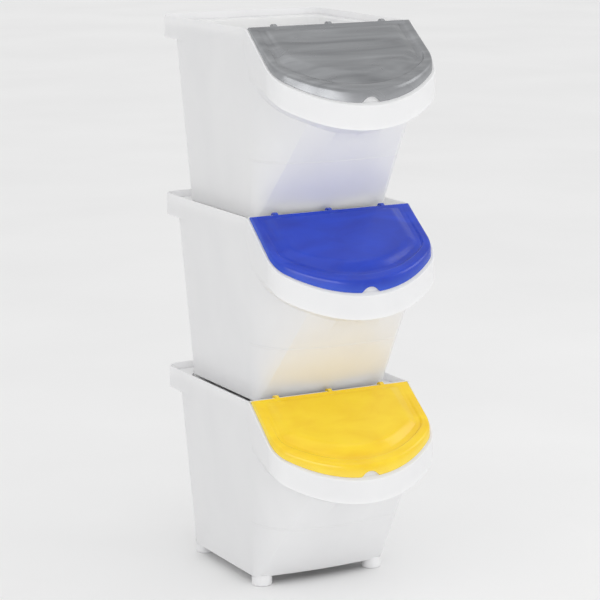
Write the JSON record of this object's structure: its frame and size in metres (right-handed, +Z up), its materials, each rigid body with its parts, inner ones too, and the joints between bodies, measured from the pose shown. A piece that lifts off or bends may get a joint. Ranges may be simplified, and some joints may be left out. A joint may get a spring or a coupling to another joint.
{
  "type": "recycling bin station",
  "caption": "Stack of white waste sorting bins with sloping front mouths, hinged coloured flaps, recessed foot trays and rear grip lips.",
  "frame": {"origin": "middle of the stack's footprint, on the surface that it stands on", "axes": "+Z up, front and mouths towards -Y, +X to the right seen along +Y"},
  "size_m": [0.31, 0.4754, 0.9615],
  "materials": {
    "white_tub": "slightly translucent white polypropylene, satin",
    "white_cover": "white polypropylene, satin",
    "grey_lid": "silver grey metallic polypropylene, glossy with fine brushed flow lines",
    "blue_lid": "blue polypropylene, glossy",
    "yellow_lid": "yellow polypropylene, glossy"
  },
  "bodies": {
    "bottom_bin": {"bottom_tub": "white_tub", "bottom_top_cover": "white_cover"},
    "bottom_flap": {"bottom_lid": "yellow_lid"},
    "middle_bin": {"middle_tub": "white_tub", "middle_top_cover": "white_cover"},
    "middle_flap": {"middle_lid": "blue_lid"},
    "top_bin": {"top_tub": "white_tub", "top_top_cover": "white_cover"},
    "top_flap": {"top_lid": "grey_lid"}
  },
  "joints": [
    {"name": "bottom_flap_hinge", "type": "hinge", "parent": "bottom_bin", "child": "bottom_flap", "pos_m": [0, -0.08825, 0.333], "axis": [-1, 0, 0], "range_deg": [0, 70]},
    {"name": "middle_bin_lift", "type": "slide", "parent": "bottom_bin", "child": "middle_bin", "axis": [0, 0, 1], "range_m": [0, 0.12]},
    {"name": "middle_flap_hinge", "type": "hinge", "parent": "middle_bin", "child": "middle_flap", "pos_m": [0, -0.08825, 0.643], "axis": [-1, 0, 0], "range_deg": [0, 70]},
    {"name": "top_bin_lift", "type": "slide", "parent": "middle_bin", "child": "top_bin", "axis": [0, 0, 1], "range_m": [0, 0.12]},
    {"name": "top_flap_hinge", "type": "hinge", "parent": "top_bin", "child": "top_flap", "pos_m": [0, -0.08825, 0.953], "axis": [-1, 0, 0], "range_deg": [0, 115]}
  ]
}
